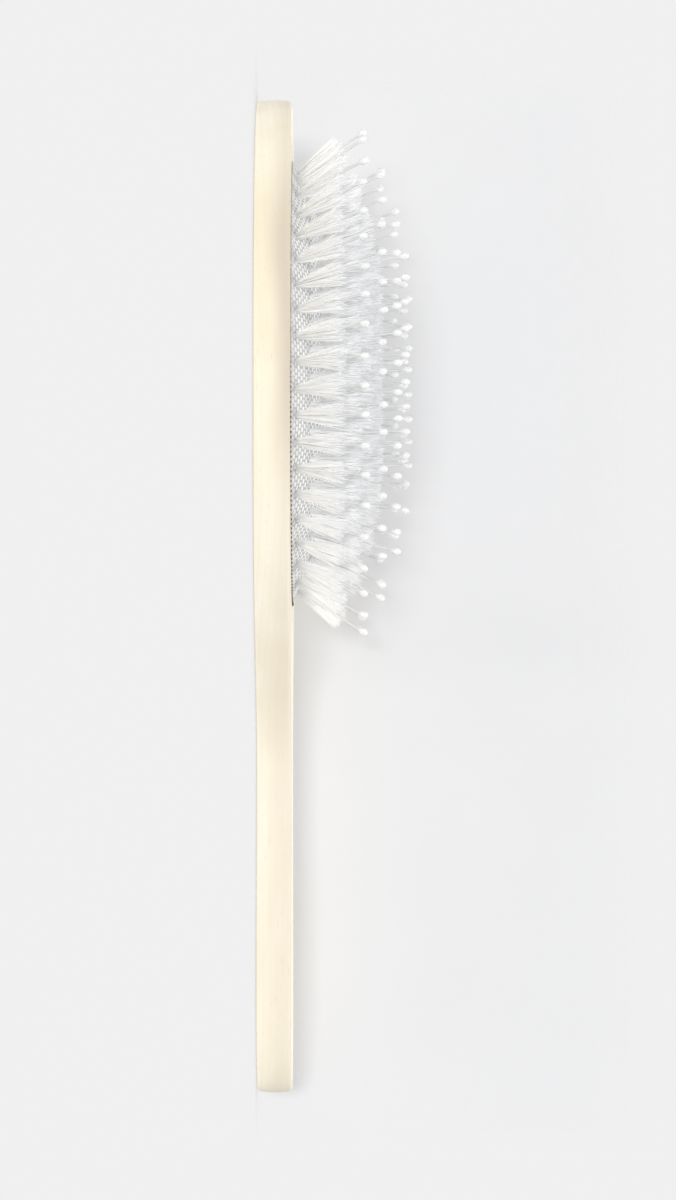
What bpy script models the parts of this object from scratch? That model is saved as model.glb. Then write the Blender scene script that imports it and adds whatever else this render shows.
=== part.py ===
"""Oval air-cushion hair brush.

A flat wooden body carries a domed rubber cushion in an oval recess. The cushion is faced with cloth, and
nylon tufts stand in oval rows on it, each with one longer ball-tipped pin in its middle.

The brush lies on its back. X runs from the head (-X) to the tail of the grip (+X), Y runs across, and the
bristles point to +Z. The flat back is at z = 0, and the origin is the middle of the back's length and width.
All sizes are in metres.
"""

import math
from dataclasses import dataclass

import bmesh
import bpy
import numpy as np
from mathutils import Vector
from mathutils.geometry import delaunay_2d_cdt

# Room that pieces which touch or slide past each other keep between them
CLEARANCE = 0.0003

# Cushion: an oval dome whose level lines shrink to a straight ridge
CUSHION_LENGTH = 0.1070
CUSHION_WIDTH = 0.0570
RIDGE_LENGTH = 0.0400
CROWN_HEIGHT = 0.0095
FACING_THICKNESS = 0.0010
FACING_EDGE = 0.0010
RUBBER_THICKNESS = 0.0012

# Bead round the cushion's edge, and the room under it in the wood
BEAD_REACH = 0.0009
BEAD_HEIGHT = 0.0012
BEAD_WALL = 0.0018
AIR_ROOM_DEPTH = 0.0022
CUTTER_OVERRUN = 0.0020

# Wooden body, one board that the cushion's recess is cut in
FLOOR_THICKNESS = 0.0033
HEAD_SIDE_MARGIN = 0.0095
HEAD_TIP_MARGIN = 0.0148
CUSHION_TO_NECK = 0.0385
NECK_TO_GRIP = 0.0500
GRIP_TO_TAIL = 0.0297
NECK_HALF_WIDTH = 0.0108
GRIP_HALF_WIDTH = 0.0150
EASED_EDGE = 0.0009
END_FULLNESS = 2.25
SHOULDER_FULLNESS = 1.8

# Where the outer row of tufts stands, measured in from the cushion's edge at its widest
OUTER_ROW_TO_EDGE = 0.0024

# Locks of filaments and ball-tipped pins. Each strand of a tuft stands for a lock of its fine filaments
LOCK_LENGTH = 0.0125
LOCK_RADIUS = 0.00036
LOCK_ROOT_SPREAD = 0.00090
LOCK_TIP_SPREAD = 0.00165
LOCK_UNEVENNESS = 0.0007
PIN_LENGTH = 0.0197
PIN_RADIUS = 0.00026
BALL_RADIUS = 0.0009
SPLAY_share = 1.25
LEAN_TO_HEAD_share = 0.02

# Half sizes of the cushion, from which its rows are placed
HALF_LENGTH = CUSHION_LENGTH / 2
HALF_WIDTH = CUSHION_WIDTH / 2
HALF_RIDGE = RIDGE_LENGTH / 2
OUTER_ROW_share = 1 - OUTER_ROW_TO_EDGE / HALF_WIDTH


@dataclass(frozen=True)
class Row:
    """An oval row of tufts: where it runs, as a share of the way from the ridge to the cushion's edge, and
    how far it is shifted along itself, as a share of the space between two tufts."""

    name: str
    at_share: float
    shift_share: float
    tufts: int
    locks: int
    slices: int


ROWS = (
    Row("outer_tufts", at_share=OUTER_ROW_share, shift_share=0.5, tufts=40, locks=3, slices=10),
    Row("second_tufts", at_share=0.700, shift_share=0.0, tufts=32, locks=2, slices=8),
    Row("third_tufts", at_share=0.465, shift_share=0.0, tufts=26, locks=2, slices=6),
    Row("fourth_tufts", at_share=0.232, shift_share=0.0, tufts=20, locks=2, slices=4),
)
CENTRE_ROW = Row("centre_tufts", at_share=0.0, shift_share=0.0, tufts=8, locks=2, slices=1)

# How finely the round forms are cut into facets, and how unevenly the locks end
OVAL_POINTS = 80
NOSE_POINTS = 14
SHOULDER_POINTS = 17
GRIP_POINTS = 7
TAIL_POINTS = 9
EASED_EDGE_STEPS = 3
EASED_EDGE_ANGLE = math.radians(50)
SMOOTH_ANGLE = math.radians(35)
ARC_SAMPLES = 2400
POINTS_PER_TUFT = 2
CENTRE_EDGE_POINTS = 10
STRAND_SIDES = 3
LOCK_TURN_PER_TUFT = math.radians(90)
WAVE_PER_TUFT = 2.4
WAVE_PER_LOCK = 1.7

# Sizes that follow from those above
HALF_GAP_SHARE = CLEARANCE / 2 / HALF_WIDTH
FACING_EDGE_SHARE = 1 - FACING_EDGE / HALF_WIDTH
BEAD_INNER_SHARE = 1 - BEAD_WALL / HALF_WIDTH
BEAD_SEAT_DEPTH = FACING_THICKNESS + CLEARANCE + BEAD_HEIGHT + CLEARANCE
RECESS_DEPTH = BEAD_SEAT_DEPTH + AIR_ROOM_DEPTH
BOARD_THICKNESS = FLOOR_THICKNESS + RECESS_DEPTH
HEAD_HALF_WIDTH = HALF_WIDTH + HEAD_SIDE_MARGIN
TIP_TO_WIDEST = HEAD_TIP_MARGIN + HALF_LENGTH
WIDEST_TO_NECK = HALF_LENGTH + CUSHION_TO_NECK
BODY_LENGTH = TIP_TO_WIDEST + WIDEST_TO_NECK + NECK_TO_GRIP + GRIP_TO_TAIL
TIP_X = -BODY_LENGTH / 2
CUSHION_X = TIP_X + TIP_TO_WIDEST
ROW_shares = [row.at_share for row in (*ROWS, CENTRE_ROW)]
BORDER_shares = [FACING_EDGE_SHARE] + [(a + b) / 2 for a, b in zip(ROW_shares, ROW_shares[1:])]


def clear_scene():
    for obj in list(bpy.data.objects):
        bpy.data.objects.remove(obj, do_unlink=True)


def make_material(name, colour, roughness, metallic=0.0):
    material = bpy.data.materials.new(name)
    material.use_nodes = True
    shader = material.node_tree.nodes["Principled BSDF"]
    shader.inputs["Base Color"].default_value = (*colour, 1.0)
    shader.inputs["Roughness"].default_value = roughness
    shader.inputs["Metallic"].default_value = metallic
    material.diffuse_color = (*colour, 1.0)
    return material


def add_object(name, mesh_builder, material):
    """Turn a bmesh into a named object with its own material, facing out."""
    bmesh.ops.recalc_face_normals(mesh_builder, faces=mesh_builder.faces[:])
    mesh = bpy.data.meshes.new(name)
    mesh_builder.to_mesh(mesh)
    mesh_builder.free()
    obj = bpy.data.objects.new(name, mesh)
    bpy.context.scene.collection.objects.link(obj)
    if material is not None:
        mesh.materials.append(material)
    return obj


def shade(obj):
    obj.data.shade_smooth()
    obj.data.set_sharp_from_angle(angle=SMOOTH_ANGLE)


def loft_rings(rings, closed):
    """Skin a run of rings that have the same number of points. A closed run joins its last ring to its first,
    and an open one is capped at both ends."""
    builder = bmesh.new()
    rows = [[builder.verts.new(point) for point in ring] for ring in rings]
    pairs = list(zip(rows, rows[1:]))
    if closed:
        pairs.append((rows[-1], rows[0]))
    else:
        builder.faces.new(rows[0])
        builder.faces.new(rows[-1])
    for low, high in pairs:
        count = len(low)
        for i in range(count):
            j = (i + 1) % count
            builder.faces.new((low[i], low[j], high[j], high[i]))
    return builder


def board_outline():
    """One side of the board seen from above, from the tip of the head to the tail: a full rounded nose, an
    egg-shaped shoulder that runs into the neck, a grip that swells gently, and a rounded tail."""
    widest_x = CUSHION_X
    neck_x = widest_x + WIDEST_TO_NECK
    grip_x = neck_x + NECK_TO_GRIP
    points = []
    for i in range(NOSE_POINTS):
        angle = math.pi / 2 * i / NOSE_POINTS
        along = math.cos(angle) ** (2 / END_FULLNESS)
        across = math.sin(angle) ** (2 / END_FULLNESS)
        points.append((widest_x - TIP_TO_WIDEST * along, HEAD_HALF_WIDTH * across))
    for i in range(SHOULDER_POINTS):
        part = i / SHOULDER_POINTS
        fall = math.cos(math.pi / 2 * part**SHOULDER_FULLNESS) ** 2
        width = NECK_HALF_WIDTH + (HEAD_HALF_WIDTH - NECK_HALF_WIDTH) * fall
        points.append((widest_x + WIDEST_TO_NECK * part, width))
    for i in range(GRIP_POINTS):
        part = i / GRIP_POINTS
        rise = math.sin(math.pi / 2 * part) ** 2
        width = NECK_HALF_WIDTH + (GRIP_HALF_WIDTH - NECK_HALF_WIDTH) * rise
        points.append((neck_x + NECK_TO_GRIP * part, width))
    for i in range(TAIL_POINTS + 1):
        angle = math.pi / 2 * (1 - i / TAIL_POINTS)
        along = math.cos(angle) ** (2 / END_FULLNESS)
        across = math.sin(angle) ** (2 / END_FULLNESS)
        points.append((grip_x + GRIP_TO_TAIL * along, GRIP_HALF_WIDTH * across))
    return points


def oval_ring(outset, height):
    """The cushion's edge, moved out by the outset, at one height."""
    ring = []
    for i in range(OVAL_POINTS):
        angle = math.tau * i / OVAL_POINTS
        x = CUSHION_X + (HALF_LENGTH + outset) * math.cos(angle)
        y = (HALF_WIDTH + outset) * math.sin(angle)
        ring.append((x, y, height))
    return ring


def level_axes(share):
    """Half length and half width of the dome's level line at this share of the way to the rim."""
    return HALF_RIDGE + (HALF_LENGTH - HALF_RIDGE) * share, HALF_WIDTH * share


def dome_height(share):
    """Height of the cloth there. The dome is a parabola from ridge to rim."""
    return BOARD_THICKNESS + CROWN_HEIGHT * (1 - share**2)


def level_ring(share, drop):
    """A level line of the dome, lowered by the drop."""
    long_axis, short_axis = level_axes(share)
    ring = []
    for i in range(OVAL_POINTS):
        angle = math.tau * i / OVAL_POINTS
        x = CUSHION_X + long_axis * math.cos(angle)
        ring.append((x, short_axis * math.sin(angle), dome_height(share) - drop))
    return ring


def make_recess_cutter():
    """The oval recess with its undercut groove, as one solid that is cut out of the board."""
    groove_top = BOARD_THICKNESS - FACING_THICKNESS
    groove_bottom = BOARD_THICKNESS - BEAD_SEAT_DEPTH
    groove = BEAD_REACH + CLEARANCE
    rings = [
        oval_ring(CLEARANCE, BOARD_THICKNESS + CUTTER_OVERRUN),
        oval_ring(CLEARANCE, groove_top),
        oval_ring(groove, groove_top),
        oval_ring(groove, groove_bottom),
        oval_ring(CLEARANCE, groove_bottom),
        oval_ring(CLEARANCE, FLOOR_THICKNESS),
    ]
    cutter = add_object("recess_cutter", loft_rings(rings, closed=False), None)
    cutter.hide_render = True
    cutter.display_type = "WIRE"
    return cutter


def make_wooden_body(material):
    """The board: its outline extruded, its edges eased, and the recess cut from its face."""
    side = board_outline()
    across = [(x, -y) for x, y in reversed(side[1:-1])]
    builder = bmesh.new()
    base = builder.faces.new([builder.verts.new((x, y, 0)) for x, y in side + across])
    lifted = bmesh.ops.extrude_face_region(builder, geom=[base])
    raised = [item for item in lifted["geom"] if isinstance(item, bmesh.types.BMVert)]
    bmesh.ops.translate(builder, vec=(0, 0, BOARD_THICKNESS), verts=raised)
    body = add_object("wooden_body", builder, material)
    ease = body.modifiers.new("eased_edges", "BEVEL")
    ease.width = EASED_EDGE
    ease.segments = EASED_EDGE_STEPS
    ease.limit_method = "ANGLE"
    ease.angle_limit = EASED_EDGE_ANGLE
    cut = body.modifiers.new("recess", "BOOLEAN")
    cut.operation = "DIFFERENCE"
    cut.solver = "EXACT"
    cut.object = make_recess_cutter()
    shade(body)
    return body


def make_rubber_cushion(material):
    """The diaphragm: a thin dome, open below, with a thick bead that snaps into the groove."""
    outer_drop = FACING_THICKNESS + CLEARANCE
    inner_drop = outer_drop + RUBBER_THICKNESS
    bead_top = BOARD_THICKNESS - outer_drop
    bead_bottom = bead_top - BEAD_HEIGHT
    outer = [level_ring(share, outer_drop) for share in [*reversed(BORDER_shares), 1.0]]
    bead = [
        oval_ring(BEAD_REACH, bead_top),
        oval_ring(BEAD_REACH, bead_bottom),
        [(x, y, bead_bottom) for x, y, _ in level_ring(BEAD_INNER_SHARE, 0)],
    ]
    inner = [level_ring(share, inner_drop) for share in [BEAD_INNER_SHARE, *BORDER_shares[1:]]]
    cushion = add_object("rubber_cushion", loft_rings(outer + bead + inner, closed=False), material)
    shade(cushion)
    return cushion


def make_facing_rim(material):
    """The edge of the cloth, turned down between the bead and the wood."""
    share = FACING_EDGE_SHARE + HALF_GAP_SHARE
    rings = [
        level_ring(1.0, 0),
        level_ring(1.0, FACING_THICKNESS),
        level_ring(share, FACING_THICKNESS),
        level_ring(share, 0),
    ]
    rim = add_object("facing_rim", loft_rings(rings, closed=True), material)
    shade(rim)
    return rim


class Tuft:
    """Where one tuft stands on the cloth, which way it points, and its strands."""

    def __init__(self, row, angle, number):
        long_axis, short_axis = level_axes(row.at_share)
        cosine, sine = math.cos(angle), math.sin(angle)
        self.root = Vector((CUSHION_X + long_axis * cosine, short_axis * sine, dome_height(row.at_share)))
        to_rim = Vector((
            (HALF_LENGTH - HALF_RIDGE) * cosine,
            HALF_WIDTH * sine,
            -2 * CROWN_HEIGHT * row.at_share,
        ))
        along = Vector((-long_axis * sine, short_axis * cosine, 0))
        on_ridge = row.at_share == 0
        self.normal = Vector((0, 0, 1)) if on_ridge else to_rim.cross(along).normalized()
        leaning = self.normal.x * SPLAY_share - LEAN_TO_HEAD_share
        self.direction = Vector((leaning, self.normal.y, self.normal.z)).normalized()
        self.side = self.direction.cross(Vector((0, 1, 0))).normalized()
        self.other_side = self.direction.cross(self.side)
        self.locks = row.locks
        self.number = number

    def strands(self):
        """The pin and the locks round it, each as its rings from the root up and the point that ends it."""
        return [self.pin(), *(self.lock(i) for i in range(self.locks))]

    def root_ring(self, x, y, radius):
        """A strand's outline on the cloth's tangent plane, x and y away from the tuft's root as seen from
        above."""
        corners = []
        for i in range(STRAND_SIDES):
            turn = math.tau * i / STRAND_SIDES
            away = Vector((x + radius * math.cos(turn), y + radius * math.sin(turn), 0))
            away.z = -self.normal.dot(away) / self.normal.z
            corners.append(self.root + away)
        return corners

    def ring(self, centre, radius):
        """A ring square to the tuft, whose corners face the same ways as those of the root ring."""
        corners = []
        for i in range(STRAND_SIDES):
            turn = math.tau * i / STRAND_SIDES
            level = Vector((math.cos(turn), math.sin(turn), 0))
            turned = self.side * level.dot(self.side) + self.other_side * level.dot(self.other_side)
            corners.append(centre + turned.normalized() * radius)
        return corners

    def pin(self):
        """A straight shaft with a ball on its end."""
        top = self.root + self.direction * PIN_LENGTH
        ball = top - self.direction * BALL_RADIUS
        slant = math.sqrt(0.5)
        rings = [
            self.root_ring(0, 0, PIN_RADIUS),
            self.ring(ball - self.direction * BALL_RADIUS, PIN_RADIUS),
            self.ring(ball - self.direction * BALL_RADIUS * slant / 2, BALL_RADIUS),
            self.ring(ball + self.direction * BALL_RADIUS * slant, BALL_RADIUS * slant),
        ]
        return rings, top

    def lock(self, i):
        """Locks stand evenly round the pin and fan out. Each ends a little higher or lower than the next, by
        a sine of its number."""
        turn = math.tau * (i + 0.5) / self.locks + self.number * LOCK_TURN_PER_TUFT
        out = self.side * math.cos(turn) + self.other_side * math.sin(turn)
        foot = out * LOCK_ROOT_SPREAD
        uneven = LOCK_UNEVENNESS * math.sin(self.number * WAVE_PER_TUFT + i * WAVE_PER_LOCK)
        end = self.root + self.direction * (LOCK_LENGTH + uneven) + out * LOCK_TIP_SPREAD
        return [self.root_ring(foot.x, foot.y, LOCK_RADIUS), self.ring(end, LOCK_RADIUS)], None


def tuft_angles(row):
    """Angles on the row's level line that leave equal lengths of line between the tufts."""
    long_axis, short_axis = level_axes(row.at_share)
    angles = np.linspace(0, math.tau, ARC_SAMPLES)
    steps = np.hypot(np.diff(long_axis * np.cos(angles)), np.diff(short_axis * np.sin(angles)))
    lengths = np.concatenate([[0], np.cumsum(steps)])
    return np.interp((np.arange(row.tufts) + row.shift_share) / row.tufts * lengths[-1], lengths, angles)


def slice_cuts(angles, slices):
    """For each slice, its first tuft, the one after its last, and the angles where it is cut: halfway to the
    next tuft on both sides."""
    ends = np.concatenate([[angles[-1] - math.tau], angles, [angles[0] + math.tau]])
    halfway = (ends[1:] + ends[:-1]) / 2
    cuts = [i * len(angles) // slices for i in range(slices + 1)]
    return [(first, last, halfway[first], halfway[last]) for first, last in zip(cuts, cuts[1:])]


def level_line(share, start, end, points):
    """Points of a level line from one angle to another."""
    long_axis, short_axis = level_axes(share)
    turns = np.linspace(start, end, points)
    height = dome_height(share)
    return [Vector((CUSHION_X + long_axis * math.cos(a), short_axis * math.sin(a), height)) for a in turns]


def slice_outline(outer, inner, start, end, points):
    """Outline of a slice: along its outer line, and back along its inner one. Both ends are drawn in by half
    the clearance, square to the cut between two slices."""
    there = level_line(outer, start, end, points)
    back = level_line(inner, start, end, points)
    for i, inwards in ((0, 1), (-1, -2)):
        cut = there[i] - back[i]
        square = Vector((-cut.y, cut.x, 0)).normalized()
        if square.dot(there[inwards] - there[i]) < 0:
            square.negate()
        there[i] = there[i] + square * CLEARANCE / 2
        back[i] = back[i] + square * CLEARANCE / 2
    return there + back[::-1]


def skin_strand(builder, root_corners, rings, apex):
    """Carry a strand's rings up from its root corners and close its end with a cap or a point."""
    below = root_corners
    sides = [(i, (i + 1) % STRAND_SIDES) for i in range(STRAND_SIDES)]
    for ring in rings:
        above = [builder.verts.new(point) for point in ring]
        for i, j in sides:
            builder.faces.new((below[i], below[j], above[j], above[i]))
        below = above
    if apex is None:
        builder.faces.new(below)
        return
    point = builder.verts.new(apex)
    for i, j in sides:
        builder.faces.new((below[i], below[j], point))


def make_slice(name, outline, tufts, material):
    """A slice of cloth with its tufts standing on it, as one solid. Seen from above, the top is triangulated
    round the roots of the strands, so that each strand grows out of the cloth."""
    strands = [strand for tuft in tufts for strand in tuft.strands()]
    points = list(outline)
    loops = [list(range(len(points)))]
    for rings, _ in strands:
        loops.append(list(range(len(points), len(points) + STRAND_SIDES)))
        points.extend(rings[0])
    seen = [point.to_2d() for point in points]
    same_place = CLEARANCE / len(points)
    corners, _, triangles, sources, _, owners = delaunay_2d_cdt(seen, [], loops, 1, same_place)
    builder = bmesh.new()
    top = [
        builder.verts.new((corner.x, corner.y, points[given[0]].z))
        for corner, given in zip(corners, sources)
    ]
    place = {point: vertex for vertex, given in zip(top, sources) for point in given}
    for triangle, owner in zip(triangles, owners):
        if owner == [0]:
            builder.faces.new([top[i] for i in triangle])
    for loop, (rings, apex) in zip(loops[1:], strands):
        skin_strand(builder, [place[i] for i in loop], rings[1:], apex)
    low = [builder.verts.new(point - Vector((0, 0, FACING_THICKNESS))) for point in outline]
    count = len(low)
    for i in range(count):
        j = (i + 1) % count
        builder.faces.new((place[i], place[j], low[j], low[i]))
    for i in range(count // 2 - 1):
        builder.faces.new((low[i], low[i + 1], low[count - 2 - i], low[count - 1 - i]))
    return add_object(name, builder, material)


def make_row(row, outer_border, inner_border, material):
    """One oval row of tufts on its slices of cloth, with running room to the rows on both sides."""
    angles = tuft_angles(row)
    outer = outer_border - HALF_GAP_SHARE
    inner = inner_border + HALF_GAP_SHARE
    for number, (first, last, start, end) in enumerate(slice_cuts(angles, row.slices), 1):
        outline = slice_outline(outer, inner, start, end, POINTS_PER_TUFT * (last - first) + 1)
        tufts = [Tuft(row, angles[i], i) for i in range(first, last)]
        make_slice(f"{row.name}_{number:02d}", outline, tufts, material)


def make_centre_row(row, outer_border, material):
    """The straight row of tufts along the ridge, on one oval slice of cloth."""
    share = outer_border - HALF_GAP_SHARE
    half_turn = math.pi / CENTRE_EDGE_POINTS / 2
    there = level_line(share, half_turn, math.pi - half_turn, CENTRE_EDGE_POINTS)
    back = level_line(share, math.pi + half_turn, math.tau - half_turn, CENTRE_EDGE_POINTS)
    tufts = []
    for i in range(row.tufts):
        along_ridge_share = 2 * i / (row.tufts - 1) - 1
        tufts.append(Tuft(row, math.acos(along_ridge_share), i))
    make_slice(row.name, there + back, tufts, material)


def main():
    clear_scene()
    wood = make_material("pale_wood", (0.86, 0.76, 0.55), 0.55)
    rubber = make_material("grey_rubber", (0.35, 0.35, 0.35), 0.7)
    cloth = make_material("woven_cloth", (0.72, 0.71, 0.69), 0.9)
    nylon = make_material("clear_nylon", (0.88, 0.88, 0.87), 0.3)
    make_wooden_body(wood)
    make_rubber_cushion(rubber)
    make_facing_rim(cloth)
    for row, outer_border, inner_border in zip(ROWS, BORDER_shares, BORDER_shares[1:]):
        make_row(row, outer_border, inner_border, nylon)
    make_centre_row(CENTRE_ROW, BORDER_shares[-1], nylon)


main()
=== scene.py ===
"""Hair grooming brush with an oval air cushion, dressed for the camera.

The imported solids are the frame. Every piece here is worked out from the same named sizes as they are and
lies where they lie. X runs from the head (-X) to the tail of the grip (+X), Y runs across, and the bristles
point to +Z. The flat back is at z = 0. All sizes are in metres.
"""

from __future__ import annotations

import logging
import math
from dataclasses import dataclass, field
from enum import Enum
from typing import Any

import bmesh
import bpy
import numpy as np
from mathutils import Matrix, Vector


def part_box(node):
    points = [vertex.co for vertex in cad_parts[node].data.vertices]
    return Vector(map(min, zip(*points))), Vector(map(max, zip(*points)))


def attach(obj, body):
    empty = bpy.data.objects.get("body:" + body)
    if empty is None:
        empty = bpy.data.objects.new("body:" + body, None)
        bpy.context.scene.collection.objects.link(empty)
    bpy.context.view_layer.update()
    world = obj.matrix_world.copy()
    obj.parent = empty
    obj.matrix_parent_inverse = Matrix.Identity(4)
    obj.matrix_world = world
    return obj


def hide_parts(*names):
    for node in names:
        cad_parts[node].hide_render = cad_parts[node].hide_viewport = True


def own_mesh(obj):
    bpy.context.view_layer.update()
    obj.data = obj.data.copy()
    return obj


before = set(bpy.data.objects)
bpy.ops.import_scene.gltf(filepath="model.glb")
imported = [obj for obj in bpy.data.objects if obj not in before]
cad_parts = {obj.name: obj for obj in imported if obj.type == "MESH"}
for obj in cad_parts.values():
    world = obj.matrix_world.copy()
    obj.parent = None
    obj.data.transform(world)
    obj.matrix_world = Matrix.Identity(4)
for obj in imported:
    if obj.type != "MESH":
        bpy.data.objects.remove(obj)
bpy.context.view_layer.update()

log = logging.getLogger("brush")

Triple = tuple[float, float, float]
Span = tuple[float, float]
Socket = bpy.types.NodeSocket

WHITE = (1.0, 1.0, 1.0, 1.0)
UP = np.array([0.0, 0.0, 1.0])
OVAL_SAMPLES = 2400
GOLDEN_ANGLE = 2.39996
WELD = 1e-6
MIDDLE = (0.3, 0.7)


class Body(Enum):
    """The CAD bodies that the pieces ride on."""

    ROOT = "root"
    OUTER = "outer_row"
    SECOND = "second_row"
    THIRD = "third_row"
    FOURTH = "fourth_row"
    CENTRE = "centre_row"


class Slot(Enum):
    """The record's material slots."""

    WOOD = "wood"
    RUBBER = "rubber"
    CLOTH = "cloth"
    NYLON = "nylon"


def unit(vectors: np.ndarray) -> np.ndarray:
    """Scale vectors in the last axis to a length of one."""
    return vectors / np.linalg.norm(vectors, axis=-1, keepdims=True)


def full_turn(count: int) -> np.ndarray:
    """Angles at equal steps round a circle, which start at 0."""
    return np.arange(count) * (math.tau / count)


def spun(side: np.ndarray, other: np.ndarray, angle: np.ndarray) -> np.ndarray:
    """Unit vectors at angles from one direction towards another: side cos a + other sin a."""
    return side * np.cos(angle)[..., None] + other * np.sin(angle)[..., None]


def lengths_along(line: np.ndarray) -> np.ndarray:
    """Length of a line up to each of its points: the sum of the steps so far."""
    return np.concatenate([[0], np.cumsum(np.linalg.norm(np.diff(line, axis=0), axis=1))])


def lifted(flat: np.ndarray, height: np.ndarray | float) -> np.ndarray:
    """Give points in x and y their height, one for all or spread over them."""
    tall = np.broadcast_to(height, flat.shape[:-1])[..., None]
    return np.concatenate([flat, tall], axis=-1)


def placed(name: str, data: bpy.types.ID) -> bpy.types.Object:
    """Put a mesh, a lamp or a camera into the scene.

    Args:
        name: Name of the object.
        data: The mesh, lamp or camera.

    Returns:
        The object.
    """
    obj = bpy.data.objects.new(name, data)
    bpy.context.scene.collection.objects.link(obj)
    return obj


@dataclass(frozen=True)
class BrushPlan:
    """Sizes that several pieces share. The dome's level lines shrink to a straight ridge: at a share t of the
    way from the ridge to the rim, the line's half length is ridge + (length - ridge) * t, its half width is
    width * t, and its height is the board's thickness plus crown * (1 - t * t)."""

    tip_x: float
    tail_x: float
    head_half_width: float
    thickness: float
    cushion_x: float
    half_length: float
    half_width: float
    half_ridge: float = 0.0200
    crown: float = 0.0095
    press_travel: float = 0.0040

    @classmethod
    def from_frame(cls) -> BrushPlan:
        """Measure the board and the cushion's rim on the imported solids.

        Returns:
            The plan with the measured sizes.
        """
        board_low, board_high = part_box("wooden_body")
        rim_low, rim_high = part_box("facing_rim")
        return cls(
            tip_x=board_low[0],
            tail_x=board_high[0],
            head_half_width=board_high[1],
            thickness=board_high[2],
            cushion_x=(rim_low[0] + rim_high[0]) / 2,
            half_length=(rim_high[0] - rim_low[0]) / 2,
            half_width=rim_high[1],
        )

    @property
    def squash_keep(self) -> float:
        """Share of its height that the cushion keeps when it is pressed all the way."""
        return 1 - self.press_travel / self.crown

    def dome_point(self, share: np.ndarray, angle: np.ndarray) -> np.ndarray:
        """Point of the dome: (cushion_x + A cos a, B sin a, thickness + crown (1 - t t)).

        Args:
            share: Share t of the way from the ridge to the rim.
            angle: Angle a round the level line, from the side of the tail.

        Returns:
            Points, with x, y and z in the last axis.
        """
        share, angle = np.broadcast_arrays(share, angle)
        half_long = self.half_ridge + (self.half_length - self.half_ridge) * share
        x = self.cushion_x + half_long * np.cos(angle)
        y = self.half_width * share * np.sin(angle)
        z = self.thickness + self.crown * (1 - share**2)
        return np.stack([x, y, z], axis=-1)

    def dome_normal(self, share: np.ndarray, angle: np.ndarray) -> np.ndarray:
        """Unit normal of the dome: the cross product of its slopes by t and by a, and up on the ridge.

        Args:
            share: Share t of the way from the ridge to the rim.
            angle: Angle a round the level line.

        Returns:
            Unit vectors in the last axis.
        """
        share, angle = np.broadcast_arrays(share, angle)
        widening = self.half_length - self.half_ridge
        half_long = self.half_ridge + widening * share
        slope = -2 * self.crown * share
        to_rim = np.stack([widening * np.cos(angle), self.half_width * np.sin(angle), slope], axis=-1)
        across = self.half_width * share * np.cos(angle)
        along = np.stack([-half_long * np.sin(angle), across, 0 * share], axis=-1)
        normal = np.cross(to_rim, along)
        normal[share < WELD] = UP
        return unit(normal)

    def rim_oval(self, outset: float, angle: np.ndarray) -> np.ndarray:
        """The cushion's edge moved out by o: x and y of (A + o) cos a and (B + o) sin a."""
        x = self.cushion_x + (self.half_length + outset) * np.cos(angle)
        return np.stack([x, (self.half_width + outset) * np.sin(angle)], axis=-1)


@dataclass
class Skin:
    """A mesh as arrays: points, the corners of all faces in one row, how many corners each face has, and the
    shape of the grid that the points come from."""

    points: np.ndarray
    corners: np.ndarray
    sizes: np.ndarray
    shape: tuple[int, ...]
    attributes: dict[str, np.ndarray] = field(default_factory=dict)

    @classmethod
    def from_grids(cls, grids: np.ndarray, ring: bool = True, caps: bool = True) -> Skin:
        """Join the points of each grid with quads: face (r, c) has the corners (r, c), (r, c + 1),
        (r + 1, c + 1) and (r + 1, c).

        Args:
            grids: Points by grid, row and column, with x, y and z in the last axis, or those of one grid.
            ring: Whether the last column joins the first.
            caps: Whether the first and the last row are closed with one face each.

        Returns:
            One skin with all grids.
        """
        grids = grids.reshape(-1, *grids.shape[-3:])
        count, rows, columns = grids.shape[:3]
        index = np.arange(count * rows * columns).reshape(count, rows, columns)
        here = index if ring else index[..., :-1]
        there = np.roll(index, -1, axis=2) if ring else index[..., 1:]
        quads = np.stack([here[:, :-1], there[:, :-1], there[:, 1:], here[:, 1:]], axis=-1).reshape(-1)
        sizes = np.full(len(quads) // 4, 4)
        if caps:
            quads = np.concatenate([quads, index[:, 0, ::-1].ravel(), index[:, -1].ravel()])
            sizes = np.concatenate([sizes, np.full(2 * count, columns)])
        return cls(grids.reshape(-1, 3), quads, sizes, grids.shape[:3])

    def carry(self, **values: np.ndarray) -> Skin:
        """Let the points carry numbers, each spread over the grid, and hand back the skin."""
        self.attributes.update({key: np.broadcast_to(value, self.shape) for key, value in values.items()})
        return self

    def piece(self, name: str, material: bpy.types.Material, smooth: bool = True) -> bpy.types.Object:
        """Put the skin into a mesh object.

        Args:
            name: Name of the object.
            material: Its material.
            smooth: Whether its faces are shaded smooth.

        Returns:
            The object, at the origin.
        """
        mesh = bpy.data.meshes.new(name)
        mesh.vertices.add(len(self.points))
        mesh.vertices.foreach_set("co", self.points.astype(np.float32).ravel())
        mesh.loops.add(len(self.corners))
        mesh.loops.foreach_set("vertex_index", self.corners.astype(np.int32))
        mesh.polygons.add(len(self.sizes))
        starts = np.concatenate([[0], np.cumsum(self.sizes)[:-1]])
        mesh.polygons.foreach_set("loop_start", starts.astype(np.int32))
        mesh.update(calc_edges=True)
        for key, values in self.attributes.items():
            attribute = mesh.attributes.new(key, "FLOAT", "POINT")
            attribute.data.foreach_set("value", values.astype(np.float32).ravel())
        if not smooth:
            mesh.shade_flat()
        mesh.materials.append(material)
        return placed(name, mesh)


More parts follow.
